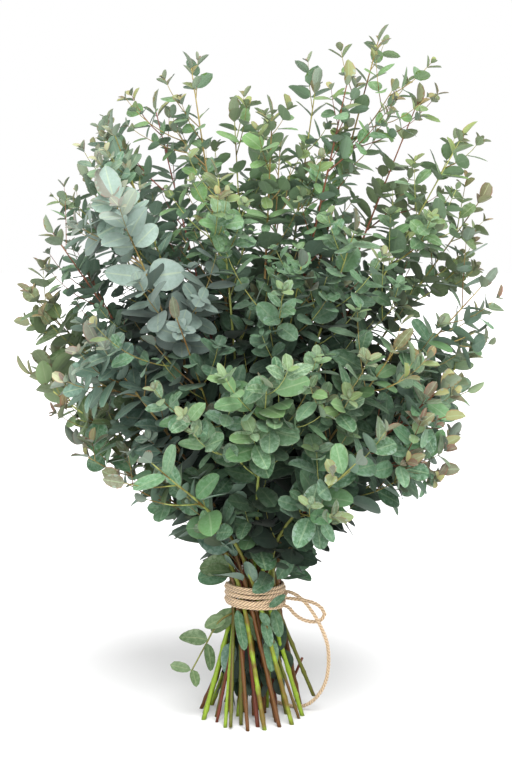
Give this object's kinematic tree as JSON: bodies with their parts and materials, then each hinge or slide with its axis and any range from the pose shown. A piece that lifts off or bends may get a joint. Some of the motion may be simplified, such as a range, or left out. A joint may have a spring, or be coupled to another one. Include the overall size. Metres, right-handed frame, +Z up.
{
  "type": "tied bunch of cider gum stems",
  "caption": "Tall bunch of cut leafy cider gum stems, tied with jute twine and standing on its splayed cut ends.",
  "frame": {"origin": "on the surface that the bunch stands on, straight below the middle of the bundle and of its box", "axes": "+Z up along the bundle; -Y is the front that the picture shows, with the twine's loop and tail towards +X"},
  "size_m": [0.448, 0.3749, 0.6405],
  "materials": {
    "grey_green_leaves": "matte",
    "fresh_green_leaves": "satin",
    "blue_green_leaves": "matte",
    "dusky_young_leaves": "matte",
    "jute_twine": "matte"
  },
  "bodies": {
    "root": {"stem_01": "grey_green_leaves", "stem_02": "dusky_young_leaves", "stem_03": "dusky_young_leaves", "stem_04": "grey_green_leaves", "stem_05": "grey_green_leaves", "stem_06": "blue_green_leaves", "stem_07": "grey_green_leaves", "stem_08": "grey_green_leaves", "stem_09": "fresh_green_leaves", "stem_10": "fresh_green_leaves", "stem_11": "grey_green_leaves", "stem_12": "grey_green_leaves", "stem_13": "fresh_green_leaves", "stem_14": "dusky_young_leaves", "stem_15": "fresh_green_leaves", "stem_16": "dusky_young_leaves", "stem_17": "grey_green_leaves", "stem_18": "fresh_green_leaves", "stem_19": "grey_green_leaves", "stem_20": "blue_green_leaves", "stem_21": "grey_green_leaves", "stem_22": "grey_green_leaves", "stem_23": "fresh_green_leaves", "stem_24": "grey_green_leaves", "stem_25": "grey_green_leaves", "stem_26": "fresh_green_leaves", "stem_27": "grey_green_leaves", "stem_28": "grey_green_leaves", "stem_29": "blue_green_leaves", "stem_30": "grey_green_leaves", "stem_31": "grey_green_leaves", "stem_32": "blue_green_leaves", "stem_33": "grey_green_leaves", "stem_34": "grey_green_leaves", "stem_35": "fresh_green_leaves", "stem_36": "grey_green_leaves", "stem_37": "grey_green_leaves", "stem_38": "fresh_green_leaves", "stem_39": "grey_green_leaves", "stem_40": "grey_green_leaves", "twine_winding": "jute_twine", "twine_loop": "jute_twine", "twine_tail": "jute_twine"}
  },
  "joints": []
}
